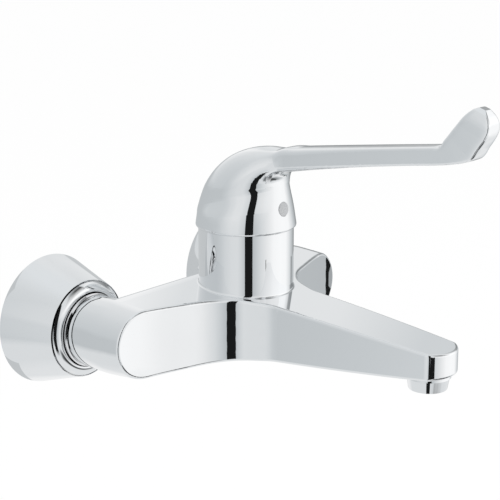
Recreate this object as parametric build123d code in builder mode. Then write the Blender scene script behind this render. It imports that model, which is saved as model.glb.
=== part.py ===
from build123d import *
import os
from math import atan2, cos, radians, sin, sqrt

# Wall-mounted single lever mixer with a long elbow lever.
# The wall is the plane y = 0, the spout points along -Y, +Z is up, and the
# origin lies on the wall midway between the two inlets.

# Inlets and arms
inlet_spacing = 150.0
arm_back_y = 47.0
arm_back_radius = 20.6
arm_face_y = 72.5
arm_back_fillet = 5.0
arm_swell_y = 57.0
neck_radius = 19.5
neck_back_y = 35.6
neck_chamfer = 0.6
contour_fillet = 1.6

# Spout
spout_tip_y = 216.0
spout_root_y = 118.0
spout_root_half = 19.2
spout_mid_half = 16.9
spout_nose_length = 7.0
spout_nose_half = 13.6
spout_tip_half_height = 6.3
spout_crown = 1.1
spout_corner_radius = 5.0
# Front faces between the arm's end (1, 0) and the spout's root (0, 1),
# as shares of the width and of the depth between these two.
face_sweep_shares = [
    (0.815, 0.035),
    (0.617, 0.116),
    (0.433, 0.218),
    (0.314, 0.286),
    (0.172, 0.420),
    (0.073, 0.618),
    (0.028, 0.798),
]

# Tower and cartridge chamber
tower_y = 80.5
tower_radius = 26.5
tower_top_z = 51.7
tower_foot_fillet = 1.0
tower_wall = 3.1
chamber_ledge = 3.2
chamber_floor_z = 4.0
chamber_step_z = 38.0

# Waterways
waterway_radius = 5.5
inlet_way_radius = 6.0
inlet_way_y = 62.0
port_offset_share = 0.54
port_share = 0.21

# Unions at the wall
pipe_thread_radius = 10.48
pipe_thread_length = 14.0
union_offset = 12.5
union_neck_radius = 13.0
union_flange_radius = 15.0
union_flange_y = 9.0
union_thread_radius = 13.2
union_end_y = 21.0
union_bore_radius = 7.0
gasket_thickness = 1.6
strainer_thickness = 0.6
strainer_hole_radius = 0.7
strainer_hole_pitch = 3.4
strainer_rings = 2
nipple_flange_thickness = 2.4
nipple_radius = 10.5
nipple_bore_radius = 8.0
nipple_end_y = 52.0
nut_back_y = 11.0
nut_across_flats = 30.0
nut_shoulder_y = 30.0
nut_shoulder_gap = 0.4
nut_front_y = 35.2

# Escutcheons
escutcheon_radius = 36.2
escutcheon_depth = 33.6
escutcheon_rim_radius = 26.9
escutcheon_rim_drop = 3.0
escutcheon_mouth_radius = 20.6
escutcheon_wall = 1.4
escutcheon_groove = 0.8

# Cartridge
base_thickness = 5.0
seal_lap = 1.5
seal_wire_radius = 0.9
disc_thickness = 4.0
moving_disc_lap = 4.4
moving_disc_thickness = 3.6
moving_disc_offset = 3.45
disc_port_lap = 0.7
disc_port_shift = 1.5
carrier_thickness = 4.5
carrier_collar_radius = 6.0
carrier_collar_height = 7.0
housing_wall = 3.1
housing_neck_step = 1.9
housing_shoulder_z = 40.0
housing_top_z = 50.0
housing_step_z = 34.0
rotor_step = 1.0
rotor_bottom_z = 31.0
rotor_top_z = 50.3
rotor_flange_thickness = 2.6
rotor_slot_wall = 5.3
stop_ring_thickness = 1.6
retaining_ring_height = 6.0
slide_gap = 0.3
fit_gap = 0.05

# Cap on the tower
cap_setback = 0.3
cap_edge_height = 0.5
cap_lap = 1.3
cap_rise = 4.4
cap_wall = 1.5
cap_skirt_depth = 3.5

# Lever pivot and spindle
pivot_drop = 5.5
pin_radius = 1.5
spindle_square = 8.0
spindle_collar_length = 9.6
spindle_top_z = 70.0
spindle_shank_radius = 2.6
spindle_ball_radius = 3.0
spindle_ball_drop = 20.2

# Lever hub
hub_overhang = 1.4
hub_lip_setback = 0.8
hub_lip_height = 1.5
hub_draft_height = 20.0
hub_draft = 2.5
hub_side_taper = 2.8
hub_back_lean = 1.4
hub_cavity_gap = 0.3
hub_elbow_tilt = 16.0
hub_corner_radius = 7.4
hub_corner_z = 78.0
boss_radius = 8.5
boss_bottom_rise = 13.0

# Lever bar, upturned end and index plug
bar_rise = 7.1
bar_lift = 0.6
bar_root_thickness = 13.1
bar_root_half = 10.1
bar_length = 93.8
bar_thickness = 9.2
bar_half = 7.4
end_size = 30.0
# Progress of the elbow's depth and width: early and late control shares.
elbow_depth_shares = (0.50, 1.11)
elbow_width_shares = (0.14, 1.0)
root_square_share = 0.6
# A quarter of a section, from its side to its top: round and squared outline.
round_quarter_shares = [(1, 0), (1, 0.5523), (0.5523, 1), (0, 1)]
square_quarter_shares = [(1, 0), (1, 0.5), (1, 0.95), (1, 1), (0.95, 1), (0.5, 1), (0, 1)]
# Along the upturned end: lower and upper outline, outwards and upwards from the
# bar's upper edge, and the width.
end_shares = [
    ((0.300, -0.262), (0.133, 0.017), 0.98),
    ((0.587, -0.197), (0.217, 0.147), 0.95),
    ((0.730, -0.135), (0.290, 0.243), 0.92),
    ((0.855, 0.050), (0.350, 0.325), 0.89),
    ((0.953, 0.195), (0.433, 0.432), 0.85),
    ((1.015, 0.347), (0.527, 0.548), 0.81),
    ((1.010, 0.463), (0.617, 0.630), 0.73),
    ((0.960, 0.573), (0.700, 0.685), 0.58),
    ((0.890, 0.668), (0.775, 0.707), 0.34),
]
index_z = 64.4
index_radius = 4.0
index_depth = 2.4
index_proud = 0.1
screw_radius = 2.5
screw_length = 4.6
screw_key_radius = 1.5

# Aerator
outlet_setback = 14.5
outlet_pad_z = 9.0
outlet_pad_radius = 11.8
aerator_radius = 11.1
aerator_end_radius = 10.0
aerator_length = 6.3
aerator_thread_radius = 10.0
aerator_thread_top_z = 3.2
aerator_wall = 1.2
outlet_gasket_thickness = 1.2
honeycomb_cell_radius = 1.56
honeycomb_hole_radius = 1.3
honeycomb_count = 5
metering_ring_radius = 5.6
metering_hole_radius = 0.8
metering_holes = 12

overrun = 2.0

# Sizes that follow from the ones above
inlet_x = inlet_spacing / 2
arm_end_x = inlet_x + arm_back_radius
outlet_y = spout_tip_y - outlet_setback
chamber_thread_radius = tower_radius - tower_wall
chamber_radius = chamber_thread_radius - chamber_ledge
housing_radius = chamber_radius - slide_gap
housing_neck_radius = housing_radius - housing_neck_step
disc_radius = housing_radius - housing_wall
rotor_radius = disc_radius - rotor_step
rotor_slot_half = rotor_radius - rotor_slot_wall
port_offset = port_offset_share * disc_radius
port_radius = port_share * disc_radius
moving_disc_radius = disc_radius - moving_disc_lap
seal_radius = port_radius + seal_lap
nut_shoulder_radius = escutcheon_mouth_radius - nut_shoulder_gap
pivot_z = tower_top_z - pivot_drop
hub_sphere_radius = sqrt((tower_radius + hub_cavity_gap) ** 2 + pivot_drop**2)
spindle_ball_z = pivot_z - spindle_ball_drop
fixed_disc_z = chamber_floor_z + base_thickness
moving_disc_z = fixed_disc_z + disc_thickness
carrier_z = moving_disc_z + moving_disc_thickness
sides = {"left": -1, "right": 1}

os.makedirs("parts", exist_ok=True)


def save(part, label):
    """Give a finished piece its label and write it."""
    part.label = label
    export_step(part, f"parts/{label}.step")


def ring(inner, outer, low, high, plane):
    """A plain ring from low to high along the plane's normal."""
    with BuildPart() as piece:
        with BuildSketch(plane.offset(low)):
            Circle(outer)
            Circle(inner, mode=Mode.SUBTRACT)
        extrude(amount=high - low)
    return piece.part


def inlet_plane(side):
    """Plane on the wall, centred on an inlet, facing away from the wall."""
    return Plane(origin=(side * inlet_x, 0, 0), x_dir=(1, 0, 0), z_dir=(0, -1, 0))


tower_plane = Plane(origin=(0, -tower_y, 0))
wall_front = Plane(origin=(0, 0, 0), x_dir=(1, 0, 0), z_dir=(0, -1, 0))
side_view = Plane(origin=(0, 0, 0), x_dir=(0, 1, 0), z_dir=(1, 0, 0))

# Mixer body: arms, spout and tower as one casting.
# The side profile is crowned a little between the arm's back and the spout's tip,
# and swells from each inlet's neck into that crown.
crown_y = (arm_back_y + spout_tip_y) / 2
crown_z = (arm_back_radius + spout_tip_half_height) / 2 + spout_crown
spout_end_y = spout_tip_y - spout_nose_length
spout_mid_y = (spout_root_y + spout_end_y) / 2
sweep_width = arm_end_x - spout_root_half
sweep_depth = spout_root_y - arm_face_y


def body_profile(sign):
    """Upper or lower outline of the side view, from the neck to past the spout's tip."""
    crown = ThreePointArc(
        (-arm_back_y, sign * arm_back_radius),
        (-crown_y, sign * crown_z),
        (-spout_tip_y - overrun, sign * spout_tip_half_height),
        mode=Mode.PRIVATE,
    )
    swell_share = (arm_swell_y - arm_back_y) / (spout_tip_y - arm_back_y)
    swell_end = crown @ swell_share
    back = Spline(
        (-neck_back_y, sign * neck_radius), swell_end, tangents=[(-1, 0), crown % swell_share]
    )
    front = ThreePointArc(swell_end, crown @ ((1 + swell_share) / 2), crown @ 1)
    return back @ 0, front @ 1


with BuildPart() as mixer_body:
    with BuildSketch(side_view):
        with BuildLine():
            upper_back, upper_front = body_profile(1)
            lower_back, lower_front = body_profile(-1)
            Line(upper_back, lower_back)
            Line(upper_front, lower_front)
        make_face()
        with Locations((-arm_back_y, 0)):
            Rectangle(
                arm_back_y, 3 * arm_back_radius, align=(Align.MIN, Align.CENTER), mode=Mode.SUBTRACT
            )
        back_corners = vertices().group_by(Axis.X)[-1]
        fillet(back_corners, arm_back_fillet)
    extrude(amount=inlet_x, both=True)
    for side in sides.values():
        with BuildSketch(Plane(origin=(side * inlet_x, 0, 0), x_dir=(0, 1, 0), z_dir=(1, 0, 0))):
            with BuildLine():
                upper_back, upper_front = body_profile(1)
                Polyline(upper_back, (upper_back.X, 0), (upper_front.X, 0), upper_front)
            make_face()
        revolve(axis=Axis(origin=(side * inlet_x, 0, 0), direction=(0, 1, 0)))
    with BuildSketch(Plane.XY.offset(-arm_back_radius - overrun)):
        with BuildLine():
            for side in sides.values():
                root = (side * spout_root_half, -spout_root_y)
                corner = (side * spout_nose_half, -spout_end_y)
                flank = ThreePointArc(root, (side * spout_mid_half, -spout_mid_y), corner)
                arm_end = (side * arm_end_x, -arm_face_y)
                points = [arm_end]
                for width_share, depth_share in face_sweep_shares:
                    sweep_x = spout_root_half + width_share * sweep_width
                    points.append((side * sweep_x, -arm_face_y - depth_share * sweep_depth))
                points.append(root)
                Spline(*points, tangents=[(-side, 0), flank % 0])
                Line(arm_end, (side * arm_end_x, -neck_back_y))
            ThreePointArc(
                (-spout_nose_half, -spout_end_y), (0, -spout_tip_y), (spout_nose_half, -spout_end_y)
            )
            Line((-arm_end_x, -neck_back_y), (arm_end_x, -neck_back_y))
        make_face()
        tip_corners = vertices().group_by(Axis.Y)[0]
        fillet(tip_corners, spout_corner_radius)
    extrude(amount=2 * (arm_back_radius + overrun), mode=Mode.INTERSECT)
    front_contour = edges().filter_by(
        lambda e: e.geom_type != GeomType.LINE and e.center().Y < -arm_face_y + contour_fillet
    )
    fillet(front_contour, contour_fillet)
    with BuildSketch(tower_plane):
        Circle(tower_radius)
    extrude(amount=tower_top_z)
    tower_foot = edges().filter_by(
        lambda e: e.center().Z > tower_foot_fillet
        and abs(e.center().Z - tower_top_z) > tower_foot_fillet
        and abs(e.center().Y + tower_y) < tower_radius
        and e.bounding_box().max.X < tower_radius + fit_gap
        and e.bounding_box().min.X > -tower_radius - fit_gap
        and e.geom_type != GeomType.LINE
    )
    fillet(tower_foot, tower_foot_fillet)
    neck_rims = faces().group_by(Axis.Y)[-1].edges()
    chamfer(neck_rims, neck_chamfer)
    # Pad on the underside that the aerator seats on.
    with BuildSketch(Plane(origin=(0, -outlet_y, -outlet_pad_z))):
        Circle(outlet_pad_radius)
    extrude(amount=outlet_pad_z)
    # Cartridge chamber, with a wider threaded mouth.
    with BuildSketch(tower_plane.offset(chamber_floor_z)):
        Circle(chamber_radius)
    extrude(amount=tower_top_z - chamber_floor_z + overrun, mode=Mode.SUBTRACT)
    with BuildSketch(tower_plane.offset(chamber_step_z)):
        Circle(chamber_thread_radius)
    extrude(amount=tower_top_z - chamber_step_z + overrun, mode=Mode.SUBTRACT)
    # Inlet ways run along each arm, forward under the cartridge and up to a port.
    for side in sides.values():
        with BuildSketch(inlet_plane(side).offset(neck_back_y - overrun)):
            Circle(nipple_radius + fit_gap)
        extrude(amount=nipple_end_y - neck_back_y + overrun, mode=Mode.SUBTRACT)
        with BuildSketch(inlet_plane(side).offset(nipple_end_y - overrun)):
            Circle(nipple_bore_radius)
        extrude(amount=inlet_way_y - nipple_end_y + overrun, mode=Mode.SUBTRACT)
        arm_way = Plane(origin=(side * inlet_x, -inlet_way_y, 0), x_dir=(0, 1, 0), z_dir=(-side, 0, 0))
        with BuildSketch(arm_way):
            Circle(inlet_way_radius)
        extrude(amount=inlet_x - port_offset, mode=Mode.SUBTRACT)
        forward_way = Plane(
            origin=(side * port_offset, -inlet_way_y, 0), x_dir=(1, 0, 0), z_dir=(0, -1, 0)
        )
        with BuildSketch(forward_way):
            Circle(port_radius)
        extrude(amount=tower_y - inlet_way_y, mode=Mode.SUBTRACT)
        with BuildSketch(Plane(origin=(side * port_offset, -tower_y, 0))):
            Circle(port_radius)
        extrude(amount=chamber_floor_z + overrun, mode=Mode.SUBTRACT)
    # The mixed water leaves by a front port and runs along the spout.
    outlet_port_y = tower_y + port_offset
    with BuildSketch(Plane(origin=(0, -outlet_port_y, 0))):
        Circle(port_radius)
    extrude(amount=chamber_floor_z + overrun, mode=Mode.SUBTRACT)
    with BuildSketch(wall_front.offset(outlet_port_y)):
        Circle(port_radius)
    extrude(amount=spout_root_y - outlet_port_y, mode=Mode.SUBTRACT)
    with BuildSketch(wall_front.offset(spout_root_y)):
        Circle(waterway_radius)
    extrude(amount=outlet_y - spout_root_y, mode=Mode.SUBTRACT)
    outlet_plane = Plane(origin=(0, -outlet_y, -outlet_pad_z))
    thread_depth = outlet_pad_z + aerator_thread_top_z
    with BuildSketch(outlet_plane.offset(-overrun)):
        Circle(aerator_thread_radius + fit_gap)
    extrude(amount=thread_depth + overrun, mode=Mode.SUBTRACT)
save(mixer_body.part, "mixer_body")


def make_escutcheon(side):
    """Conical shroud with a groove, a rounded front ring and a web on the union's flange."""
    wall = escutcheon_wall
    rim_y = -escutcheon_depth + escutcheon_rim_drop
    groove_outer = escutcheon_rim_radius - escutcheon_groove / 2
    groove_inner = groove_outer - escutcheon_groove
    groove_y = rim_y + 2 * escutcheon_groove
    front_radius = escutcheon_mouth_radius + wall / 2
    with BuildPart() as piece:
        with BuildSketch(Plane(origin=(side * inlet_x, 0, 0), x_dir=(1, 0, 0), z_dir=(0, 0, 1))):
            with BuildLine():
                Polyline(
                    (escutcheon_radius, 0),
                    (escutcheon_rim_radius, rim_y),
                    (groove_outer, rim_y),
                    (groove_outer, groove_y),
                    (groove_inner, groove_y),
                    (groove_inner, rim_y),
                )
                ThreePointArc(
                    (groove_inner, rim_y),
                    ((groove_inner + front_radius) / 2 + wall / 2, (rim_y - escutcheon_depth - wall) / 2),
                    (front_radius, -escutcheon_depth),
                )
                Polyline(
                    (front_radius, -escutcheon_depth),
                    (escutcheon_mouth_radius, -escutcheon_depth + wall / 2),
                    (escutcheon_mouth_radius, -escutcheon_depth + 2 * wall),
                    (groove_inner - wall, groove_y + wall),
                    (escutcheon_radius - wall, 0),
                    (escutcheon_radius, 0),
                )
            make_face()
        revolve(axis=Axis(origin=(side * inlet_x, 0, 0), direction=(0, 1, 0)))
        web_share = -union_flange_y / rim_y
        web_radius = escutcheon_radius - (escutcheon_radius - escutcheon_rim_radius) * web_share
        with BuildSketch(inlet_plane(side).offset(union_flange_y)):
            Circle(web_radius - wall / 2)
            Circle(union_thread_radius + fit_gap, mode=Mode.SUBTRACT)
        extrude(amount=wall)
    return piece.part


def make_s_union(side):
    """Eccentric union: G1/2 tail in the wall, G3/4 end on the inlet's axis."""
    wall_centre = (0, -union_offset)
    with BuildPart() as piece:
        with BuildSketch(inlet_plane(side).offset(-pipe_thread_length)):
            with Locations(wall_centre):
                Circle(pipe_thread_radius)
        extrude(amount=pipe_thread_length)
        with BuildSketch(inlet_plane(side)):
            with Locations(wall_centre):
                Circle(union_neck_radius)
        with BuildSketch(inlet_plane(side).offset(union_flange_y)):
            Circle(union_flange_radius)
        loft()
        with BuildSketch(inlet_plane(side).offset(union_flange_y)):
            Circle(union_thread_radius)
        extrude(amount=union_end_y - union_flange_y)
        with BuildSketch(inlet_plane(side).offset(-pipe_thread_length)):
            with Locations(wall_centre):
                Circle(union_bore_radius)
        extrude(amount=pipe_thread_length, mode=Mode.SUBTRACT)
        with BuildSketch(inlet_plane(side)):
            with Locations(wall_centre):
                Circle(union_bore_radius)
        with BuildSketch(inlet_plane(side).offset(union_flange_y)):
            Circle(union_bore_radius)
        loft(mode=Mode.SUBTRACT)
        with BuildSketch(inlet_plane(side).offset(union_flange_y)):
            Circle(union_bore_radius)
        extrude(amount=union_end_y - union_flange_y, mode=Mode.SUBTRACT)
    return piece.part


# Order along the inlet's axis: union end, gasket, strainer, nipple flange, nut lip.
gasket_end_y = union_end_y + gasket_thickness
strainer_end_y = gasket_end_y + strainer_thickness
flange_end_y = strainer_end_y + nipple_flange_thickness
flange_radius = union_thread_radius - slide_gap


def make_union_nut(side):
    """Hexagon nut with a round shoulder and an inner lip behind the nipple's flange."""
    with BuildPart() as piece:
        with BuildSketch(inlet_plane(side).offset(nut_back_y)):
            RegularPolygon(nut_across_flats / 2, 6, major_radius=False)
        extrude(amount=nut_shoulder_y - nut_back_y)
        with BuildSketch(inlet_plane(side).offset(nut_shoulder_y)):
            Circle(nut_shoulder_radius)
        extrude(amount=nut_front_y - nut_shoulder_y)
        front_rim = faces().sort_by(Axis.Y)[0].edges()
        chamfer(front_rim, neck_chamfer)
        with BuildSketch(inlet_plane(side).offset(nut_back_y - overrun)):
            Circle(union_thread_radius + fit_gap)
        extrude(amount=flange_end_y - nut_back_y + overrun, mode=Mode.SUBTRACT)
        with BuildSketch(inlet_plane(side).offset(nut_back_y)):
            Circle(nipple_radius + fit_gap)
        extrude(amount=nut_front_y - nut_back_y + overrun, mode=Mode.SUBTRACT)
    return piece.part


def make_nipple(side):
    """Flanged nipple screwed into the arm."""
    with BuildPart() as piece:
        with BuildSketch(inlet_plane(side).offset(strainer_end_y)):
            Circle(flange_radius)
        extrude(amount=nipple_flange_thickness)
        with BuildSketch(inlet_plane(side).offset(flange_end_y)):
            Circle(nipple_radius)
        extrude(amount=nipple_end_y - flange_end_y)
        with BuildSketch(inlet_plane(side).offset(strainer_end_y - overrun)):
            Circle(nipple_bore_radius)
        extrude(amount=nipple_end_y - strainer_end_y + 2 * overrun, mode=Mode.SUBTRACT)
    return piece.part


def make_strainer(side):
    """Thin disc with rings of small holes."""
    with BuildPart() as piece:
        with BuildSketch(inlet_plane(side).offset(gasket_end_y)):
            Circle(flange_radius)
            Circle(strainer_hole_radius, mode=Mode.SUBTRACT)
            for count in range(1, strainer_rings + 1):
                with PolarLocations(count * strainer_hole_pitch, 6 * count):
                    Circle(strainer_hole_radius, mode=Mode.SUBTRACT)
        extrude(amount=strainer_thickness)
    return piece.part


for name, side in sides.items():
    save(make_escutcheon(side), f"escutcheon_{name}")
    save(make_s_union(side), f"s_union_{name}")
    save(make_union_nut(side), f"union_nut_{name}")
    save(make_nipple(side), f"inlet_nipple_{name}")
    save(make_strainer(side), f"inlet_strainer_{name}")
    gasket = ring(union_bore_radius, flange_radius, union_end_y, gasket_end_y, inlet_plane(side))
    save(gasket, f"inlet_gasket_{name}")

# Cartridge, from the chamber's floor upwards.
ports = [(-port_offset, 0), (port_offset, 0), (0, -port_offset)]
with BuildPart() as cartridge_base:
    with BuildSketch(tower_plane.offset(chamber_floor_z)):
        Circle(housing_radius)
        with Locations(*ports):
            Circle(port_radius, mode=Mode.SUBTRACT)
    extrude(amount=base_thickness)
    for port in ports:
        with BuildSketch(tower_plane.offset(chamber_floor_z)):
            with Locations(port):
                Circle(seal_radius)
                Circle(seal_radius - 2 * seal_wire_radius, mode=Mode.SUBTRACT)
        extrude(amount=2 * seal_wire_radius, mode=Mode.SUBTRACT)
save(cartridge_base.part, "cartridge_base")

with BuildPart() as base_seals:
    for port in ports:
        with BuildSketch(tower_plane.offset(chamber_floor_z)):
            with Locations(port):
                Circle(seal_radius)
                Circle(seal_radius - 2 * seal_wire_radius, mode=Mode.SUBTRACT)
        extrude(amount=2 * seal_wire_radius)
save(base_seals.part, "base_seals")

disc_port_radius = port_radius - disc_port_lap
disc_port_offset = port_offset - disc_port_shift
with BuildPart() as fixed_disc:
    with BuildSketch(tower_plane.offset(fixed_disc_z)):
        Circle(disc_radius)
        with Locations((-disc_port_offset, 0), (disc_port_offset, 0), (0, -disc_port_offset)):
            Circle(disc_port_radius, mode=Mode.SUBTRACT)
    extrude(amount=disc_thickness)
save(fixed_disc.part, "fixed_disc")

disc_plane = Plane(origin=(0, -tower_y + moving_disc_offset, 0))
with BuildPart() as moving_disc:
    with BuildSketch(disc_plane.offset(moving_disc_z)):
        Circle(moving_disc_radius)
    extrude(amount=moving_disc_thickness)
    with BuildSketch(disc_plane.offset(moving_disc_z)):
        SlotOverall(2 * disc_port_offset, 2 * disc_port_radius)
    extrude(amount=moving_disc_thickness / 2, mode=Mode.SUBTRACT)
save(moving_disc.part, "moving_disc")

with BuildPart() as disc_carrier:
    with BuildSketch(disc_plane.offset(carrier_z)):
        Circle(moving_disc_radius)
    extrude(amount=carrier_thickness)
    with BuildSketch(tower_plane.offset(carrier_z + carrier_thickness)):
        Circle(carrier_collar_radius)
    extrude(amount=carrier_collar_height)
    with BuildSketch(tower_plane.offset(carrier_z + carrier_thickness / 2)):
        Circle(spindle_ball_radius + slide_gap)
    extrude(amount=carrier_thickness + carrier_collar_height, mode=Mode.SUBTRACT)
save(disc_carrier.part, "disc_carrier")

rotor_bore = rotor_radius + slide_gap
flange_bore = disc_radius + slide_gap
with BuildPart() as cartridge_housing:
    with BuildSketch(tower_plane.offset(fixed_disc_z)):
        Circle(housing_radius)
    extrude(amount=housing_shoulder_z - fixed_disc_z)
    with BuildSketch(tower_plane.offset(housing_shoulder_z)):
        Circle(housing_neck_radius)
    extrude(amount=housing_top_z - housing_shoulder_z)
    with BuildSketch(tower_plane.offset(fixed_disc_z)):
        Circle(disc_radius + fit_gap)
    extrude(amount=disc_thickness, mode=Mode.SUBTRACT)
    with BuildSketch(tower_plane.offset(moving_disc_z)):
        Circle(flange_bore)
    extrude(amount=housing_step_z - moving_disc_z, mode=Mode.SUBTRACT)
    with BuildSketch(tower_plane.offset(housing_step_z - overrun)):
        Circle(rotor_bore)
    extrude(amount=housing_top_z - housing_step_z + 2 * overrun, mode=Mode.SUBTRACT)
save(cartridge_housing.part, "cartridge_housing")

with BuildPart() as rotor:
    with BuildSketch(tower_plane.offset(rotor_bottom_z)):
        Circle(disc_radius)
    extrude(amount=rotor_flange_thickness)
    with BuildSketch(tower_plane.offset(rotor_bottom_z)):
        Circle(rotor_radius)
    extrude(amount=rotor_top_z - rotor_bottom_z)
    with BuildSketch(tower_plane.offset(rotor_bottom_z - overrun)):
        Rectangle(spindle_square + 2 * slide_gap, 2 * rotor_slot_half)
    extrude(amount=rotor_top_z - rotor_bottom_z + 2 * overrun, mode=Mode.SUBTRACT)
    pin_line = Plane(origin=(-rotor_radius, -tower_y, pivot_z), x_dir=(0, 1, 0), z_dir=(1, 0, 0))
    with BuildSketch(pin_line):
        Circle(pin_radius)
    extrude(amount=2 * rotor_radius, mode=Mode.SUBTRACT)
save(rotor.part, "rotor")

pin_length = 2 * sqrt(rotor_radius**2 - pin_radius**2) - 2 * fit_gap
with BuildPart() as pivot_pin:
    with BuildSketch(Plane(origin=(0, -tower_y, pivot_z), x_dir=(0, 1, 0), z_dir=(1, 0, 0))):
        Circle(pin_radius)
    extrude(amount=pin_length / 2, both=True)
save(pivot_pin.part, "pivot_pin")

stop_ring_top_z = rotor_top_z + stop_ring_thickness
stop_ring = ring(rotor_slot_half, rotor_radius, rotor_top_z, stop_ring_top_z, tower_plane)
save(stop_ring, "stop_ring")

retaining_ring = ring(
    housing_neck_radius + fit_gap,
    chamber_thread_radius - fit_gap,
    housing_shoulder_z,
    housing_shoulder_z + retaining_ring_height,
    tower_plane,
)
save(retaining_ring, "retaining_ring")

# Cap on the tower, domed inside the sphere that the hub's cavity turns in.
cap_radius = tower_radius - cap_setback
cap_mouth_radius = rotor_radius - cap_lap
cap_mid_radius = (cap_radius + cap_mouth_radius) / 2
cap_mid_rise = cap_rise / 2 + cap_edge_height
with BuildPart() as dome_cap:
    with BuildSketch(Plane(origin=(0, -tower_y, tower_top_z), x_dir=(1, 0, 0), z_dir=(0, -1, 0))):
        with BuildLine():
            edge = Line((cap_radius, 0), (cap_radius, cap_edge_height))
            dome = ThreePointArc(
                edge @ 1, (cap_mid_radius, cap_mid_rise), (cap_mouth_radius, cap_rise)
            )
            mouth = Line(dome @ 1, (cap_mouth_radius, cap_rise - cap_wall))
            skirt_radius = chamber_thread_radius - fit_gap
            inner = ThreePointArc(
                mouth @ 1,
                (cap_mid_radius - cap_wall / 2, cap_mid_rise - cap_wall),
                (skirt_radius - cap_wall, 0),
            )
            Polyline(
                inner @ 1,
                (skirt_radius - cap_wall, -cap_skirt_depth),
                (skirt_radius, -cap_skirt_depth),
                (skirt_radius, 0),
                (cap_radius, 0),
            )
        make_face()
    revolve(axis=Axis(origin=(0, -tower_y, 0), direction=(0, 0, 1)))
save(dome_cap.part, "dome_cap")

# Lever: hub, elbow, bar and upturned end in one skin drawn through sections.
hub_radius = tower_radius + hub_overhang
lip_top_z = tower_top_z + hub_lip_height
draft_share = hub_draft / hub_draft_height
draft_angle = atan2(hub_draft, hub_draft_height)
sections = []


def add_section(low, high, half_width, square):
    """Add a section that runs from one (y, z) point of the side view to another."""
    depth_y = high[0] - low[0]
    depth_z = high[1] - low[1]
    middle = (0, (low[0] + high[0]) / 2, (low[1] + high[1]) / 2)
    plane = Plane(origin=middle, x_dir=(1, 0, 0), z_dir=(0, -depth_z, depth_y))
    sections.append((plane, half_width, sqrt(depth_y**2 + depth_z**2) / 2, square))


def cone_radius(z):
    """Radius of the hub's drafted wall."""
    return hub_radius - draft_share * (z - lip_top_z)


corner_y = -tower_y - cone_radius(hub_corner_z) - hub_corner_radius / cos(draft_angle)


def elbow_point(turn, radius):
    """Point of the side view at an angle about the elbow's inner corner."""
    return (corner_y + radius * cos(radians(turn)), hub_corner_z + radius * sin(radians(turn)))


def raise_degree(points):
    """The same Bezier curve with one more control point."""
    count = len(points)
    raised = [points[0]]
    for index in range(1, count):
        share = index / count
        mix = [share * a + (1 - share) * b for a, b in zip(points[index - 1], points[index])]
        raised.append(tuple(mix))
    return raised + [points[-1]]


while len(round_quarter_shares) < len(square_quarter_shares):
    round_quarter_shares = raise_degree(round_quarter_shares)


def section_quarters(plane, half_width, half_depth, square):
    """Control points of the section's four Bezier quarters, in order around it."""
    shares = []
    for soft, hard in zip(round_quarter_shares, square_quarter_shares):
        shares.append([(1 - square) * a + square * b for a, b in zip(soft, hard)])
    quarters = []
    for x_sign, y_sign in ((1, 1), (-1, 1), (-1, -1), (1, -1)):
        points = [(x_sign * half_width * x, y_sign * half_depth * y) for x, y in shares]
        if x_sign != y_sign:
            points.reverse()
        quarters.append([plane.from_local_coords(point) for point in points])
    return quarters


# The drafted hub, cut by planes that tilt towards the elbow. Higher up its sides
# draw in and its back leans out, so the elbow starts narrower than it is deep.
elbow_front = elbow_point(-hub_elbow_tilt, hub_corner_radius)
elbow_depth = 0
for step in range(60):
    back = elbow_point(-hub_elbow_tilt, hub_corner_radius + elbow_depth)
    elbow_depth += cone_radius(back[1]) + hub_back_lean - (back[0] + tower_y)
elbow_back = elbow_point(-hub_elbow_tilt, hub_corner_radius + elbow_depth)
hub_steps = 2
for step in range(hub_steps + 1):
    share = step / hub_steps
    front_z = lip_top_z + (elbow_front[1] - lip_top_z) * share
    back_z = lip_top_z + (elbow_back[1] - lip_top_z) * share
    front = (-tower_y - cone_radius(front_z), front_z)
    back = (-tower_y + cone_radius(back_z) + hub_back_lean * share**2, back_z)
    elbow_half = sqrt(cone_radius(front_z) * cone_radius(back_z)) - hub_side_taper * share**2
    add_section(front, back, elbow_half, 0)


def progress(share, shares):
    """Cubic progress from 0 to 1 with an early and a late control share."""
    rest = 1 - share
    return 3 * rest**2 * share * shares[0] + 3 * rest * share**2 * shares[1] + share**3


# The elbow fans out about its inner corner while it shrinks to the bar's root.
elbow_steps = 8
elbow_turn = 90 - bar_rise + hub_elbow_tilt
elbow_reach = hub_corner_radius + elbow_depth
root_reach = hub_corner_radius + bar_lift + bar_root_thickness
for step in range(1, elbow_steps + 1):
    share = step / elbow_steps
    turn = share * elbow_turn - hub_elbow_tilt
    reach = elbow_reach + (root_reach - elbow_reach) * progress(share, elbow_depth_shares)
    half = elbow_half + (bar_root_half - elbow_half) * progress(share, elbow_width_shares)
    low = elbow_point(turn, hub_corner_radius + bar_lift * share**2 * (3 - 2 * share))
    high = elbow_point(turn, reach)
    add_section(low, high, half, root_square_share * share**2)

# The straight bar thins towards its end under a straight upper edge.
rise = radians(bar_rise)
bar_steps = 5
for step in range(1, bar_steps + 1):
    share = (step / bar_steps) ** 2 * (3 - 2 * step / bar_steps)
    edge = (high[0] - share * bar_length * cos(rise), high[1] + share * bar_length * sin(rise))
    thickness = bar_thickness + (bar_root_thickness - bar_thickness) * (1 - share) ** 2
    half = bar_root_half + (bar_half - bar_root_half) * share
    low = (edge[0] - thickness * sin(rise), edge[1] - thickness * cos(rise))
    add_section(low, edge, half, 1 - (1 - root_square_share) * (1 - share) ** 2)

# The end turns up from the bar to a rounded tip.
for low_shares, high_shares, width_share in end_shares:
    low = (edge[0] - end_size * low_shares[0], edge[1] + end_size * low_shares[1])
    high = (edge[0] - end_size * high_shares[0], edge[1] + end_size * high_shares[1])
    add_section(low, high, bar_half * width_share, 1)

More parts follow.
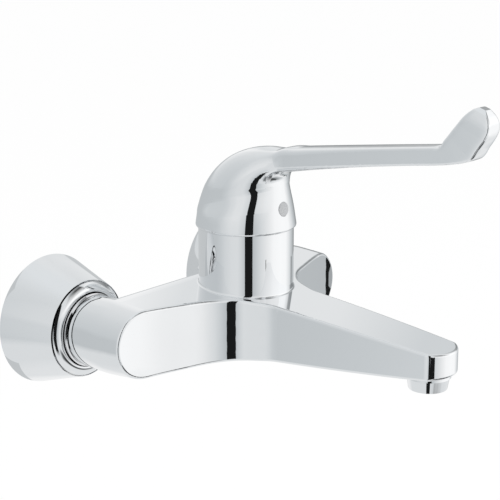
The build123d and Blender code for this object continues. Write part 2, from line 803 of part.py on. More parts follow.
socket_half = spindle_square / 2 + fit_gap
index_y = tower_y + cone_radius(index_z)
index_plane = Plane(
    origin=(0, -index_y, index_z), x_dir=(1, 0, 0), z_dir=(0, -cos(draft_angle), sin(draft_angle))
)
pivot_point = (0, -tower_y, pivot_z)


def skin_pull(index, quarter, point):
    """Direction in which the skin leaves a section, per unit of length along the lever."""
    here = outlines[index][quarter][point]
    pulls = []
    for near in (index - 1, index + 1):
        if 0 <= near < len(sections):
            gap = stations[near] - stations[index]
            pulls.append(((outlines[near][quarter][point] - here) / gap, abs(gap)))
    if len(pulls) == 1:
        return pulls[0][0]
    (before, before_gap), (after, after_gap) = pulls
    return (before * after_gap + after * before_gap) / (before_gap + after_gap)


# The skin is smooth lengthwise: cubic patches that share their pull at each section.
outlines = [section_quarters(*section) for section in sections]
stations = [0]
for before, after in zip(sections, sections[1:]):
    stations.append(stations[-1] + (after[0].origin - before[0].origin).length)
lip_radius = hub_radius - hub_lip_setback
lip = section_quarters(tower_plane.offset(tower_top_z), lip_radius, lip_radius, 0)
turn_z = tower_top_z + hub_lip_height / 3
turn_radius = cone_radius(turn_z)
lip_turn = section_quarters(tower_plane.offset(turn_z), turn_radius, turn_radius, 0)
skin = []
for quarter in range(4):
    skin.append(Face.make_bezier_surface([lip[quarter], lip_turn[quarter], outlines[0][quarter]]))
    for index in range(len(sections) - 1):
        gap = (stations[index + 1] - stations[index]) / 3
        rows = [outlines[index][quarter], [], [], outlines[index + 1][quarter]]
        for point in range(len(rows[0])):
            rows[1].append(rows[0][point] + skin_pull(index, quarter, point) * gap)
            rows[2].append(rows[3][point] - skin_pull(index + 1, quarter, point) * gap)
        skin.append(Face.make_bezier_surface(rows))
for outline in (lip, outlines[-1]):
    skin.append(Face(Wire([Edge.make_bezier(*quarter) for quarter in outline])))
with BuildPart() as lever:
    add(Solid(Shell(skin)))
    # Round cavity that turns over the tower's cap.
    with Locations(pivot_point):
        Sphere(hub_sphere_radius, mode=Mode.SUBTRACT)
    boss_bottom_z = pivot_z + boss_bottom_rise
    with BuildSketch(tower_plane.offset(boss_bottom_z)):
        Circle(boss_radius)
    extrude(amount=pivot_z + hub_sphere_radius - boss_bottom_z)
    with BuildSketch(tower_plane.offset(boss_bottom_z)):
        Rectangle(2 * socket_half, 2 * socket_half)
    extrude(amount=spindle_top_z + slide_gap - boss_bottom_z, mode=Mode.SUBTRACT)
    # Screw hole through the front wall and the boss, closed by the index plug.
    with BuildSketch(Plane(origin=(0, -tower_y, index_z), x_dir=(1, 0, 0), z_dir=(0, -1, 0))):
        Circle(screw_radius + fit_gap)
    extrude(amount=hub_radius, mode=Mode.SUBTRACT)
    with BuildSketch(index_plane.offset(-index_depth)):
        Circle(index_radius + fit_gap)
    extrude(amount=index_depth + overrun, mode=Mode.SUBTRACT)
save(lever.part, "lever")

with BuildPart() as index_plug:
    with BuildSketch(index_plane.offset(-index_depth)):
        Circle(index_radius)
    extrude(amount=index_depth + index_proud)
    plug_rim = faces().sort_by(Axis.Y)[0].edges()
    fillet(plug_rim, index_proud * 2)
save(index_plug.part, "index_plug")

with BuildPart() as grub_screw:
    screw_plane = Plane(origin=(0, -tower_y, index_z), x_dir=(1, 0, 0), z_dir=(0, -1, 0))
    with BuildSketch(screw_plane.offset(socket_half)):
        Circle(screw_radius)
    extrude(amount=screw_length)
    with BuildSketch(screw_plane.offset(socket_half + screw_length / 2)):
        RegularPolygon(screw_key_radius, 6)
    extrude(amount=screw_length, mode=Mode.SUBTRACT)
save(grub_screw.part, "grub_screw")

collar_half = spindle_collar_length / 2
with BuildPart() as spindle:
    with BuildSketch(tower_plane.offset(pivot_z - collar_half)):
        Rectangle(spindle_square, spindle_collar_length)
    extrude(amount=spindle_collar_length)
    with BuildSketch(tower_plane.offset(pivot_z)):
        Rectangle(spindle_square, spindle_square)
    extrude(amount=spindle_top_z - pivot_z)
    with BuildSketch(tower_plane.offset(spindle_ball_z)):
        Circle(spindle_shank_radius)
    extrude(amount=spindle_ball_drop)
    with Locations((0, -tower_y, spindle_ball_z)):
        Sphere(spindle_ball_radius)
    with BuildSketch(Plane(origin=pivot_point, x_dir=(0, 1, 0), z_dir=(1, 0, 0))):
        Circle(pin_radius + fit_gap)
    extrude(amount=spindle_square, both=True, mode=Mode.SUBTRACT)
save(spindle.part, "spindle")

# Aerator under the spout's tip.
aerator_plane = Plane(origin=(0, -outlet_y, 0), x_dir=(1, 0, 0), z_dir=(0, -1, 0))
aerator_axis = Axis(origin=(0, -outlet_y, 0), direction=(0, 0, 1))
thread_top_z = aerator_thread_top_z - outlet_gasket_thickness
aerator_end_z = -outlet_pad_z - aerator_length
insert_radius = aerator_thread_radius - aerator_wall
with BuildPart() as aerator_housing:
    with BuildSketch(aerator_plane):
        with BuildLine():
            Polyline(
                (insert_radius, thread_top_z),
                (aerator_thread_radius, thread_top_z),
                (aerator_thread_radius, -outlet_pad_z),
                (aerator_radius, -outlet_pad_z),
                (aerator_end_radius, aerator_end_z),
                (insert_radius - aerator_wall / 2, aerator_end_z),
                (insert_radius - aerator_wall / 2, aerator_end_z + aerator_wall),
                (insert_radius, aerator_end_z + aerator_wall),
                (insert_radius, thread_top_z),
            )
        make_face()
    revolve(axis=aerator_axis)
save(aerator_housing.part, "aerator_housing")

insert_low_z = aerator_end_z + aerator_wall
with BuildPart() as aerator_insert:
    with BuildSketch(Plane(origin=(0, -outlet_y, insert_low_z))):
        Circle(insert_radius - fit_gap)
    extrude(amount=thread_top_z - insert_low_z)
    with BuildSketch(Plane(origin=(0, -outlet_y, insert_low_z + aerator_wall))):
        Circle(insert_radius - aerator_wall)
    extrude(amount=thread_top_z - insert_low_z - 2 * aerator_wall, mode=Mode.SUBTRACT)
    # Honeycomb below, ring of metering holes above.
    with BuildSketch(Plane(origin=(0, -outlet_y, insert_low_z))):
        with HexLocations(honeycomb_cell_radius, honeycomb_count, honeycomb_count):
            RegularPolygon(honeycomb_hole_radius, 6)
    extrude(amount=aerator_wall, mode=Mode.SUBTRACT)
    with BuildSketch(Plane(origin=(0, -outlet_y, thread_top_z - aerator_wall))):
        with PolarLocations(metering_ring_radius, metering_holes):
            Circle(metering_hole_radius)
    extrude(amount=aerator_wall, mode=Mode.SUBTRACT)
save(aerator_insert.part, "aerator_insert")

with BuildPart() as outlet_gasket:
    with BuildSketch(Plane(origin=(0, -outlet_y, thread_top_z))):
        Circle(aerator_thread_radius)
        Circle(waterway_radius + aerator_wall, mode=Mode.SUBTRACT)
    extrude(amount=outlet_gasket_thickness)
save(outlet_gasket.part, "outlet_gasket")
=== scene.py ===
import math

import bmesh
import bpy
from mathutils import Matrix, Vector


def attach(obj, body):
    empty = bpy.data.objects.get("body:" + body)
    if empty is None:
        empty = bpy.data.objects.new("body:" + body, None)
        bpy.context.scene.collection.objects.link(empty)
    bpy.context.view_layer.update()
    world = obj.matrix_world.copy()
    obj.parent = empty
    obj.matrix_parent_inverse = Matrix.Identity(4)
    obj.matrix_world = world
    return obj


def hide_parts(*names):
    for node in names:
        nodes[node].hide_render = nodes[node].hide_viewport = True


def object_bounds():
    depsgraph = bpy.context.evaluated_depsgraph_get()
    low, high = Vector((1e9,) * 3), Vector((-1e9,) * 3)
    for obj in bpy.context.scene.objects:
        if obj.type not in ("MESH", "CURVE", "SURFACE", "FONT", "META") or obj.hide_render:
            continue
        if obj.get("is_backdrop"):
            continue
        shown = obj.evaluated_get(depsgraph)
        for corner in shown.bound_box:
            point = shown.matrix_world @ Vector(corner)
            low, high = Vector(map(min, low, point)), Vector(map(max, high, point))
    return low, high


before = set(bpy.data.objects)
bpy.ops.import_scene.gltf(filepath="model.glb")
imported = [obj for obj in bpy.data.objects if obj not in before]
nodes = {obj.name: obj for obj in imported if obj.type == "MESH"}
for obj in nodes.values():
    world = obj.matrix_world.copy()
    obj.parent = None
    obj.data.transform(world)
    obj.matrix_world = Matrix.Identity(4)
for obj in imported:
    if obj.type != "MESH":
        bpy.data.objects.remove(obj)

cad_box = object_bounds()

# Camera, at the height and side from which the tap was photographed.
# It stands to the left of the spout and looks a little down at the tower.
camera_place = Vector((-0.57663, -0.55984, 0.23271))
camera_aim = Vector((0.01785, -0.06863, 0.03170))
camera_data = bpy.data.cameras.new("camera")
camera_data.sensor_width = 36.0
camera_data.lens = 100.24
camera = bpy.data.objects.new("camera", camera_data)
camera.location = camera_place
camera.rotation_euler = (camera_aim - camera_place).to_track_quat("-Z", "Y").to_euler()
bpy.context.scene.collection.objects.link(camera)
bpy.context.scene.camera = camera


# Casting of arms, spout and tower: sand-cast brass, ground and polished, then nickel
# and chrome plated. The plate mirrors the room, with a faint haze of buffing marks and
# the slight unevenness that hand grinding leaves in broad faces.
def feed(node, **values):
    """Set a node's sockets, or link them where the value is another node or a socket."""
    for key, value in values.items():
        source = value.outputs[0] if isinstance(value, bpy.types.Node) else value
        socket = node.inputs[key.replace("_", " ")]
        if isinstance(source, bpy.types.NodeSocket):
            node.id_data.links.new(source, socket)
        else:
            socket.default_value = source


def new_material(name):
    """Material, its Principled shader, and a helper that adds nodes to it."""
    material = bpy.data.materials.new(name)
    material.use_nodes = True
    nodes_of = material.node_tree.nodes

    def add(kind, settings=None, **values):
        node = nodes_of.new(kind)
        for key, value in (settings or {}).items():
            setattr(node, key, value)
        feed(node, **values)
        return node

    return material, nodes_of["Principled BSDF"], add


def tinted(add, colour, other, share):
    """Colour that drifts between two tones where share is 0 and 1."""
    return add("ShaderNodeMixRGB", Fac=share, Color1=(*colour, 1.0), Color2=(*other, 1.0))


def polished(name, colour, low, high, ripple, lines, shade_reach):
    """Mirror plate: haze in patches, buffing lines, a slow ripple, and painted shade in the grooves."""
    material, shader, add = new_material(name)
    place = add("ShaderNodeTexCoord").outputs["Object"]
    patches = add("ShaderNodeTexNoise", Vector=place, Scale=38.0, Detail=4.0, Roughness=0.6)
    stretch = add("ShaderNodeMapping", Vector=place, Scale=(900.0, 60.0, 140.0))
    buffing = add("ShaderNodeTexNoise", Vector=stretch, Scale=1.0, Detail=2.0)
    mixed = add("ShaderNodeMixRGB", Fac=lines, Color1=patches, Color2=buffing)
    haze = add("ShaderNodeMapRange", Value=mixed, From_Min=0.35, From_Max=0.75, To_Min=low, To_Max=high)
    dull = [0.98 * channel for channel in colour]
    wave = add("ShaderNodeTexNoise", Vector=place, Scale=24.0, Detail=0.0)
    bump = add("ShaderNodeBump", Strength=ripple, Distance=0.0002, Height=wave)
    # Painted shade: ambient occlusion darkens the base colour in grooves, seams and crevices.
    open_sky = add("ShaderNodeAmbientOcclusion", {"samples": 12}, Distance=shade_reach)
    groove_shade = add("ShaderNodeMapRange", From_Min=0.35, From_Max=0.8, To_Min=0.04, To_Max=1.0)
    feed(groove_shade, Value=open_sky.outputs["AO"])
    plate = add("ShaderNodeMixRGB", {"blend_type": "MULTIPLY"}, Fac=1.0, Color2=groove_shade)
    feed(plate, Color1=tinted(add, colour, dull, patches))
    feed(shader, Base_Color=plate, Metallic=1.0, Roughness=haze, Normal=bump)
    return material


def dress(names, material):
    """Give CAD pieces a finish in place of the one they came with."""
    for name in names:
        for slot in nodes[name].material_slots:
            slot.material = material


casting_plate = polished("casting_plate", (0.87, 0.88, 0.89), 0.015, 0.04, 0.02, 0.3, 0.0012)
dress(["mixer_body"], casting_plate)

# Escutcheons: brass cones spun and turned, with a bead round the mouth behind a fine
# groove, and a web inside that sits on the union's flange. They close on the wall, and
# their chrome is thinner than the casting's.
inlet_reach = 0.075
wall_radius = 0.0362
wall_edge = 0.0002
rim_radius = 0.0269
rim_depth = 0.0306
rim_round = 0.0006
lip = 0.0001
groove_width = 0.0009
groove_depth = 0.0022
bead_radius = rim_radius - groove_width
bead_depth = rim_depth + 0.0003
bead_front_radius = 0.0210
bead_front_depth = 0.0333
bead_swell = 0.00075
bead_steps = 14
mouth_radius = 0.0206
mouth_edge = 0.0005
sheet = 0.0014
web_place = 0.009
web_mouth = 0.0134
around = 144


def loft(mesh, rings, closed=False):
    """Join rings of points, each with the same count, into bands of quads."""
    rows = [[mesh.verts.new(point) for point in ring] for ring in rings]
    pairs = list(zip(rows, rows[1:]))
    if closed:
        pairs.append((rows[-1], rows[0]))
    for before, after in pairs:
        for index in range(len(before)):
            nearby = (index + 1) % len(before)
            mesh.faces.new((before[index], before[nearby], after[nearby], after[index]))
    return rows


def finish_piece(name, mesh, material, body, sharp=35.0):
    """Turn mesh code into a smooth shaded piece that rides on a body."""
    bmesh.ops.recalc_face_normals(mesh, faces=mesh.faces)
    data = bpy.data.meshes.new(name)
    mesh.to_mesh(data)
    mesh.free()
    data.materials.append(material)
    data.shade_smooth()
    data.set_sharp_from_angle(angle=math.radians(sharp))
    piece = bpy.data.objects.new(name, data)
    bpy.context.scene.collection.objects.link(piece)
    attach(piece, body)
    return piece


# Outline as (radius, depth from the wall): up the cone, down the groove, over the bead.
profile = [(wall_radius - wall_edge, 0.0), (wall_radius, wall_edge + lip)]
profile += [(rim_radius + 2 * lip, rim_depth - rim_round), (rim_radius, rim_depth - lip)]
profile += [(rim_radius - lip, rim_depth - lip), (rim_radius - lip, rim_depth - groove_depth)]
profile.append((bead_radius, rim_depth - groove_depth))
for step in range(bead_steps + 1):
    share = step / bead_steps
    swell = 4 * bead_swell * share * (1 - share)
    radius = bead_radius + (bead_front_radius - bead_radius) * share
    profile.append((radius, bead_depth + (bead_front_depth - bead_depth) * share + swell))
profile += [(mouth_radius + lip, bead_front_depth - 2 * lip), (mouth_radius, bead_front_depth - mouth_edge)]
profile += [(mouth_radius, rim_depth), (rim_radius - 2 * sheet, rim_depth - sheet)]
# Back along the inside, in and out again over the web, to the wall.
inner_lean = (wall_radius - rim_radius + sheet) / (rim_depth - sheet)
web_front = web_place + sheet
profile += [(wall_radius - sheet - inner_lean * web_front, web_front), (web_mouth, web_front)]
profile += [(web_mouth, web_place), (wall_radius - sheet - inner_lean * web_place, web_place)]
profile.append((wall_radius - sheet, 0.0))
turns = [2 * math.pi * index / around for index in range(around)]
shroud_plate = polished("shroud_plate", (0.87, 0.88, 0.89), 0.03, 0.07, 0.03, 0.5, 0.0008)
for side_name, side in (("left", -1), ("right", 1)):
    centre = inlet_reach * side
    rings = []
    for radius, depth in profile:
        rings.append([(centre + radius * math.cos(a), -depth, radius * math.sin(a)) for a in turns])
    mesh = bmesh.new()
    loft(mesh, rings, closed=True)
    shroud = finish_piece("shroud_" + side_name, mesh, shroud_plate, "mixer", 40.0)
    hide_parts("escutcheon_" + side_name)

# Union nuts: hexagons turned down to a bright round shoulder that fills the mouth of
# the escutcheon. They clamp the nipples in the arms on the unions.
nut_plate = polished("nut_plate", (0.85, 0.85, 0.86), 0.05, 0.12, 0.02, 0.8, 0.0005)
dress(["union_nut_left", "union_nut_right"], nut_plate)

# Eccentric unions: turned brass, nickel plated. The G1/2 tail screws into the wall's
# outlet below the escutcheon's centre, and the neck swings up to the inlet's axis.
thread_major = 0.01048
thread_depth = 0.00116
thread_pitch = 0.001814
flank_slope = 1.25
crest_share = 0.12
tail_end = 0.014
tail_drop = 0.0125
bore = 0.007
neck_radius = 0.013
flange_radius = 0.015
flange_place = 0.009
barrel_radius = 0.0132
barrel_place = 0.0209
thread_rows = 84
around_tail = 72
tail_chamfer = 0.0012
run_out_start = 0.0008
run_out_length = 0.0015

nickel, shader, add = new_material("nickel_plate")
place = add("ShaderNodeTexCoord").outputs["Object"]
blotches = add("ShaderNodeTexNoise", Vector=place, Scale=160.0, Detail=5.0)
wear = add("ShaderNodeMapRange", Value=blotches, From_Min=0.4, From_Max=0.7)
ridges = add("ShaderNodeMapping", Vector=place, Scale=(40.0, 1500.0, 40.0))
turning = add("ShaderNodeTexNoise", Vector=ridges, Scale=1.0, Detail=1.0)
bump = add("ShaderNodeBump", Strength=0.15, Distance=0.0001, Height=turning)
rough = add("ShaderNodeMapRange", Value=blotches, To_Min=0.16, To_Max=0.4)
feed(shader, Base_Color=tinted(add, (0.66, 0.64, 0.59), (0.52, 0.49, 0.43), wear))
feed(shader, Metallic=1.0, Roughness=rough, Normal=bump)


def ring_of(centre, radius, y, depth_at=None):
    """Ring of points about an axis along Y, cut in by depth_at(angle, y) where it is given."""
    points = []
    for index in range(around_tail):
        angle = 2 * math.pi * index / around_tail
        reach = radius if depth_at is None else radius - depth_at(angle, y)
        points.append((centre[0] + reach * math.cos(angle), y, centre[1] + reach * math.sin(angle)))
    return points


def thread(angle, y):
    """Depth below the crest of a helical thread that runs out at both ends."""
    phase = (y / thread_pitch - angle / (2 * math.pi)) % 1.0
    valley = abs(2 * phase - 1)
    flank = min(1.0, max(0.0, flank_slope * valley - crest_share))
    run_out = min(1.0, max(0.0, (y - run_out_start) / run_out_length))
    lead_in = max(0.0, (y - tail_end + tail_chamfer) / tail_chamfer)
    return thread_depth * max(run_out * flank, lead_in)


for side_name, side in (("left", -1), ("right", 1)):
    inlet_axis = (inlet_reach * side, 0)
    tail_axis = (inlet_reach * side, -tail_drop)
    rings = [ring_of(inlet_axis, bore, -barrel_place), ring_of(inlet_axis, barrel_radius, -barrel_place)]
    rings.append(ring_of(inlet_axis, barrel_radius, -flange_place))
    rings.append(ring_of(inlet_axis, flange_radius, -flange_place))
    rings.append(ring_of(tail_axis, neck_radius, 0))
    for row in range(thread_rows + 1):
        rings.append(ring_of(tail_axis, thread_major, tail_end * row / thread_rows, thread))
    rings += [ring_of(tail_axis, bore, tail_end), ring_of(tail_axis, bore, 0)]
    rings.append(ring_of(inlet_axis, bore, -flange_place))
    mesh = bmesh.new()
    loft(mesh, rings, closed=True)
    union = finish_piece("union_" + side_name, mesh, nickel, "mixer", 25.0)
    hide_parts("s_union_" + side_name)

# Nipples, retaining ring and spindle: free-machining brass, turned and left bare. The
# nipples and the ring screw into the casting, and the spindle is fixed in the lever.
bare_brass, shader, add = new_material("bare_brass")
place = add("ShaderNodeTexCoord").outputs["Object"]
stain = add("ShaderNodeTexNoise", Vector=place, Scale=120.0, Detail=4.0)
cut = add("ShaderNodeTexWave", Vector=place, Scale=400.0, Distortion=0.6)
bump = add("ShaderNodeBump", Strength=0.1, Distance=0.0001, Height=cut)
rough = add("ShaderNodeMapRange", Value=stain, To_Min=0.18, To_Max=0.42)
feed(shader, Base_Color=tinted(add, (0.78, 0.6, 0.3), (0.6, 0.42, 0.2), stain))
feed(shader, Metallic=1.0, Roughness=rough, Normal=bump)
dress(["inlet_nipple_left", "inlet_nipple_right", "retaining_ring", "spindle"], bare_brass)

# Strainers, pivot pin and grub screw: stainless steel, punched, drawn or machined. The
# strainers lie between gasket and nipple, the pin holds the spindle in the rotor, and the
# screw clamps the lever on the spindle.
steel, shader, add = new_material("stainless_steel")
place = add("ShaderNodeTexCoord").outputs["Object"]
stretch = add("ShaderNodeMapping", Vector=place, Scale=(60.0, 1400.0, 60.0))
drawn = add("ShaderNodeTexNoise", Vector=stretch, Scale=1.0, Detail=3.0)
bump = add("ShaderNodeBump", Strength=0.12, Distance=0.0001, Height=drawn)
rough = add("ShaderNodeMapRange", Value=drawn, To_Min=0.2, To_Max=0.45)
feed(shader, Base_Color=tinted(add, (0.6, 0.6, 0.61), (0.5, 0.5, 0.52), drawn))
feed(shader, Metallic=1.0, Roughness=rough, Normal=bump)
dress(["inlet_strainer_left", "inlet_strainer_right", "pivot_pin", "grub_screw"], steel)

# Gaskets and seals: black rubber cut from sheet or moulded, dusty with talc. They are
# squeezed between union and nipple, under the cartridge and behind the aerator.
rubber, shader, add = new_material("seal_rubber")
place = add("ShaderNodeTexCoord").outputs["Object"]
talc = add("ShaderNodeTexNoise", Vector=place, Scale=300.0, Detail=5.0)
bump = add("ShaderNodeBump", Strength=0.3, Distance=0.0001, Height=talc)
rough = add("ShaderNodeMapRange", Value=talc, To_Min=0.55, To_Max=0.8)
feed(shader, Base_Color=tinted(add, (0.018, 0.018, 0.019), (0.06, 0.06, 0.06), talc))
feed(shader, Roughness=rough, Normal=bump)
dress(["inlet_gasket_left", "inlet_gasket_right", "base_seals", "outlet_gasket"], rubber)

# Cartridge body, rotor, stop ring and carrier: acetal and glass-filled plastic mouldings
# with a fine spark-eroded grain. They hold the discs and are hidden in the tower.
grained, shader, add = new_material("cartridge_plastic")
place = add("ShaderNodeTexCoord").outputs["Object"]
flow = add("ShaderNodeTexNoise", Vector=place, Scale=90.0, Detail=3.0)
grain = add("ShaderNodeTexNoise", Vector=place, Scale=2600.0, Detail=2.0)
bump = add("ShaderNodeBump", Strength=0.2, Distance=0.0001, Height=grain)
rough = add("ShaderNodeMapRange", Value=grain, To_Min=0.38, To_Max=0.55)
feed(shader, Base_Color=tinted(add, (0.62, 0.61, 0.57), (0.55, 0.54, 0.5), flow))
feed(shader, Roughness=rough, Normal=bump)
dress(["cartridge_base", "cartridge_housing", "rotor", "stop_ring", "disc_carrier"], grained)

# Discs: alumina, sintered and lapped flat, so that they seal on each other's face. The
# lower one is fixed in the housing, and the upper one slides and turns with the lever.
ceramic, shader, add = new_material("alumina")
place = add("ShaderNodeTexCoord").outputs["Object"]
specks = add("ShaderNodeTexNoise", Vector=place, Scale=900.0, Detail=4.0)
rough = add("ShaderNodeMapRange", Value=specks, To_Min=0.08, To_Max=0.22)
feed(shader, Base_Color=tinted(add, (0.86, 0.84, 0.8), (0.78, 0.76, 0.71), specks), Roughness=rough)
dress(["fixed_disc", "moving_disc"], ceramic)

# Cap: pressed brass dome that screws into the tower under the lever's hub and covers
# the cartridge. It is polished and plated like the casting.
dress(["dome_cap"], casting_plate)

# Lever: brass casting with the hub, the long bar and the upturned end in one, plated and
# polished more finely than the body, because hands and elbows keep rubbing it.
lever_plate = polished("lever_plate", (0.87, 0.88, 0.89), 0.012, 0.035, 0.015, 0.3, 0.0012)
dress(["lever"], lever_plate)

# Index plug: pale grey moulded button that is pressed into the hub and closes the hole
# of the grub screw.
plug, shader, add = new_material("index_plastic")
place = add("ShaderNodeTexCoord").outputs["Object"]
cloud = add("ShaderNodeTexNoise", Vector=place, Scale=500.0, Detail=3.0)
rough = add("ShaderNodeMapRange", Value=cloud, To_Min=0.3, To_Max=0.45)
feed(shader, Base_Color=tinted(add, (0.5, 0.51, 0.52), (0.46, 0.47, 0.48), cloud), Roughness=rough)
dress(["index_plug"], plug)

# Aerator: a turned and chromed ring that screws into the spout, with a grey plastic
# insert whose honeycomb makes the jet soft.
dress(["aerator_housing"], casting_plate)
insert, shader, add = new_material("aerator_plastic")
place = add("ShaderNodeTexCoord").outputs["Object"]
chalk = add("ShaderNodeTexNoise", Vector=place, Scale=420.0, Detail=5.0)
crust = add("ShaderNodeMapRange", Value=chalk, From_Min=0.5, From_Max=0.75)
rough = add("ShaderNodeMapRange", Value=chalk, To_Min=0.3, To_Max=0.6)
feed(shader, Base_Color=tinted(add, (0.3, 0.31, 0.32), (0.55, 0.55, 0.53), crust), Roughness=rough)
dress(["aerator_insert"], insert)

# Floor: a pale sheet well below the tap, white to the eye, that still takes a shadow.
# Its paint shines a little, and in mirrors it is slightly greyer than it looks.
floor_z = -0.35
floor_reach = 30.0
floor_shine = 0.9
floor_in_mirrors = 0.86


def stage_piece(name, points, faces, material, glossy_only):
    """Part of the studio, which polished surfaces alone see where glossy_only is set."""
    mesh = bpy.data.meshes.new(name)
    mesh.from_pydata(points, [], faces)
    mesh.materials.append(material)
    piece = bpy.data.objects.new(name, mesh)
    bpy.context.scene.collection.objects.link(piece)
    if glossy_only:
        piece.visible_camera = False
        piece.visible_diffuse = False
        piece.visible_shadow = False
    piece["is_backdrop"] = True
    return mesh


floor_paint, shader, add = new_material("floor_paint")
feed(shader, Base_Color=(0.9, 0.9, 0.9, 1.0), Roughness=0.9)
links = floor_paint.node_tree.links
rays = add("ShaderNodeLightPath")
mirror = add("ShaderNodeMath", {"operation": "MAXIMUM"}, Value=rays.outputs["Is Glossy Ray"])
links.new(rays.outputs["Is Transmission Ray"], mirror.inputs[1])
seen = add("ShaderNodeMath", {"operation": "MAXIMUM"}, Value=rays.outputs["Is Camera Ray"])
links.new(mirror.outputs[0], seen.inputs[1])
share = add("ShaderNodeMath", {"operation": "MULTIPLY"}, Value=seen)
share.inputs[1].default_value = floor_shine
white = add("ShaderNodeEmission", Color=(1.0, 1.0, 1.0, 1.0))
feed(white, Strength=add("ShaderNodeMapRange", Value=mirror, To_Min=1.0, To_Max=floor_in_mirrors))
blend = add("ShaderNodeMixShader", Fac=share)
links.new(shader.outputs[0], blend.inputs[1])
links.new(white.outputs[0], blend.inputs[2])
links.new(blend.outputs[0], floor_paint.node_tree.nodes["Material Output"].inputs["Surface"])
corners = [(x * floor_reach, y * floor_reach, floor_z) for x, y in ((-1, -1), (1, -1), (1, 1), (-1, 1))]
stage_piece("floor", corners, [(0, 1, 2, 3)], floor_paint, False)

# Surround: a round tent of white cloth over a floor sheet, brightest to the right of
# the camera and grey behind the tap, so that the chrome shades softly from face to face.
# A gap beside the camera stays black, and greys are a little cooler than the whites.
tent_radius = 1.2
tent_middle = Vector((0.0, -0.0805, 0.0))
sheet_z = floor_z + 0.003
gap_level = 0.012
white_floor = 0.93
grey_floor = 0.8
sheet_level = 0.85
sky_tone = (0.82, 0.845, 0.86, 1.0)
neutral_above, cooling_span = 0.95, 0.3
less_red, more_blue = 0.045, 0.024
gap =(gap_level, gap_level, gap_level, grey_floor)
# Each stop is a bearing in degrees with the cloth's level there, low, at mid height and
# at the top, and then the level of the floor in front of the tap.
tent_stops = (
    (-130, *gap),
    (-124.9, *gap),
    (-124.8, 0.56, 0.75, 0.75, 0.8),
    (-116, 0.66, 0.85, 0.85, 0.7),
    (-105, 0.78, 0.95, 0.75, 0.2),
    (-89, 0.91, 1.1, 0.3, 0.05),
    (-72, 1.05, 1.2, 0.03, 0.05),
    (-50, 1.09, 1.25, 0.03, 0.1),
    (-43, 1.08, 1.22, 0.8, 0.3),
    (-30, 1.07, 1.2, 0.9, 0.5),
    (-15, 0.86, 0.9, 0.85, white_floor),
    (-6, 0.7, 0.3, 0.84, white_floor),
    (14, 0.42, 0.2, 0.84, white_floor),
    (17, 0.36, 0.3, 0.84, white_floor),
    (21, 0.3, 0.7, 0.8, white_floor),
    (30, 0.3, 0.88, 0.78, white_floor),
    (36, 0.32, 0.87, 0.82, white_floor),
    (41, 0.42, 0.81, 0.84, white_floor),
    (47, 0.53, 1.0, 0.86, white_floor),
    (60, 0.56, 0.88, 0.84, white_floor),
    (80, 0.58, 0.76, 0.82, white_floor),
    (110, 0.6, 0.68, 0.78, grey_floor),
    (146, 0.61, 0.66, 0.76, grey_floor),
    (158, 0.66, 0.7, 0.76, grey_floor),
    (169, 0.73, 0.78, 0.78, grey_floor),
    (185, 0.79, 0.86, 0.8, grey_floor),
    (200, 0.8, 0.86, 0.8, grey_floor),
    (208, 0.73, 0.8, 0.76, grey_floor),
    (216.9, 0.6, 0.75, 0.7, grey_floor),
    (217, *gap),
    (230, *gap),
)
# Rings of the tent from the floor's middle outward and up: radius, height and tone.
tent_rings = (
    (0.03, sheet_z, "sheet"), (0.25, sheet_z, "sheet"), (0.34, sheet_z, "front"),
    (0.48, sheet_z, "front and gap"), (0.62, sheet_z, "pale front and gap"), (0.92, sheet_z, "low"),
    (tent_radius, sheet_z, "low"), (tent_radius, 0.1, "low"), (tent_radius, 0.28, "middle"),
    (tent_radius, 1.5, "high"), (0.7, 2.2, "sky"),
)


def cloth_tone(value):
    """Colour of the cloth at a level: neutral where it is white and cooler where grey."""
    cool = min(1.0, max(0.0, (neutral_above - value) / cooling_span))
    return (value * (1 - less_red * cool), value, value * (1 + more_blue * cool), 1.0)


def tones_at(low, middle, high, front):
    """Tones of one stop by name; the gap goes on over the outer floor."""
    in_gap = low == gap_level
    return {
        "low": cloth_tone(low),
        "middle": cloth_tone(middle),
        "high": cloth_tone(high),
        "front": cloth_tone(front),
        "front and gap": cloth_tone(gap_level if in_gap else front),
        "pale front and gap": cloth_tone(gap_level if in_gap else max(grey_floor, front)),
        "sheet": cloth_tone(sheet_level),
        "sky": sky_tone,
    }


def shine(material, add, colour):
    """Let a material shine evenly in one colour."""
    glow = add("ShaderNodeEmission", Color=colour)
    output = material.node_tree.nodes["Material Output"]
    material.node_tree.links.new(glow.outputs[0], output.inputs["Surface"])


points, tones = [], []
for radius, height, tone in tent_rings:
    for bearing, *levels in tent_stops:
        angle = math.radians(bearing)
        points.append(tent_middle + Vector((radius * math.cos(angle), radius * math.sin(angle), height)))
        tones.append(tones_at(*levels)[tone])
count = len(tent_stops)
faces = []
for ring in range(len(tent_rings) - 1):
    for column in range(count - 1):
        low = ring * count + column
        faces.append((low, low + 1, low + count + 1, low + count))
cloth, shader, add = new_material("tent_cloth")
shine(cloth, add, add("ShaderNodeAttribute", {"attribute_name": "level"}).outputs["Color"])
tent = stage_piece("tent", points, faces, cloth, True)
shade = tent.attributes.new("level", "FLOAT_COLOR", "POINT")
for index, tone in enumerate(tones):
    shade.data[index].color = tone

# Board behind the tap: a grey card where the wall would be, so that no polished face
# shows the bare tails of the unions.
board_tone = (0.6, 0.62, 0.63, 1.0)
board_half_width = 0.11
board_half_height = 0.034
board_place = 0.0004


def upright_card(name, colour, start, end, foot, top):
    """Small upright card from start to end, seen by polished surfaces alone."""
    paint, shader, add = new_material(name + "_paint")
    shine(paint, add, colour)
    corners = [(*start, foot), (*end, foot), (*end, top), (*start, top)]
    stage_piece(name, corners, [(0, 1, 2, 3)], paint, True)


board_ends = [(side * board_half_width, board_place) for side in (-1, 1)]
upright_card("board", board_tone, *board_ends, -board_half_height, board_half_height)

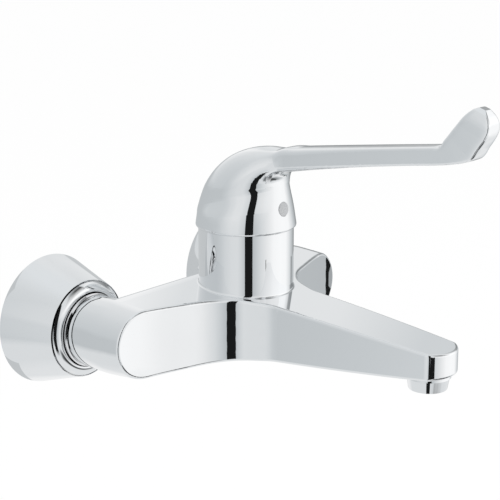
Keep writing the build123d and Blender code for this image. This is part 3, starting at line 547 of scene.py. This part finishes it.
# Flag on the right: a low grey card with a black stripe, seen only in the right arm's
# end, which it gives its grey face and its dark contour.
flag_place, flag_top, flag_foot = 0.16, -0.004, -0.09
flag_parts = (
    ("flag_grey", 0.55, -0.05, -0.0965),
    ("flag_black", gap_level, -0.0965, -0.1035),
    ("flag_far", 0.42, -0.1035, -0.112),
)
for name, level, near, far in flag_parts:
    upright_card(name, cloth_tone(level), (flag_place, near), (flag_place, far), flag_foot, flag_top)

# Card at the nose: narrow and black, close in front of the spout's tip. It makes the dark
# upright line in the tip's left corner, and a faint hairline in the tower.
card_left, card_right = (-0.0169, -0.2173), (-0.0140, -0.2195)
card_top, card_foot = 0.0075, -0.0107
upright_card("nose_card", cloth_tone(gap_level), card_left, card_right, card_foot, card_top)

# World: plain white to the eye, cooler in mirrors, and a soft even light on all else.
# One large lamp above the camera's right shoulder adds to it.
softbox_place = Vector((0.6, -1.4, 1.6))
softbox_aim = Vector((0.0, -0.1, 0.0))
world = bpy.data.worlds.new("studio")
bpy.context.scene.world = world
world.use_nodes = True
sky = world.node_tree
rays = sky.nodes.new("ShaderNodeLightPath")
mirror = sky.nodes.new("ShaderNodeMath")
mirror.operation = "MAXIMUM"
sky.links.new(rays.outputs["Is Glossy Ray"], mirror.inputs[0])
sky.links.new(rays.outputs["Is Transmission Ray"], mirror.inputs[1])
tone = sky.nodes.new("ShaderNodeMixRGB")
feed(tone, Fac=mirror, Color1=(1.0, 1.0, 1.0, 1.0), Color2=sky_tone)
feed(sky.nodes["Background"], Color=tone, Strength=1.0)

lamp_data = bpy.data.lights.new("softbox", "AREA")
lamp_data.energy = 14.0
lamp_data.size = 1.6
lamp = bpy.data.objects.new("softbox", lamp_data)
lamp.location = softbox_place
lamp.rotation_euler = (softbox_aim - softbox_place).to_track_quat("-Z", "Y").to_euler()
bpy.context.scene.collection.objects.link(lamp)

bpy.context.scene.view_settings.view_transform = "Standard"
bpy.context.view_layer.update()
corners = [[list(map(float, p)) for p in box] for box in (cad_box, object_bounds())]
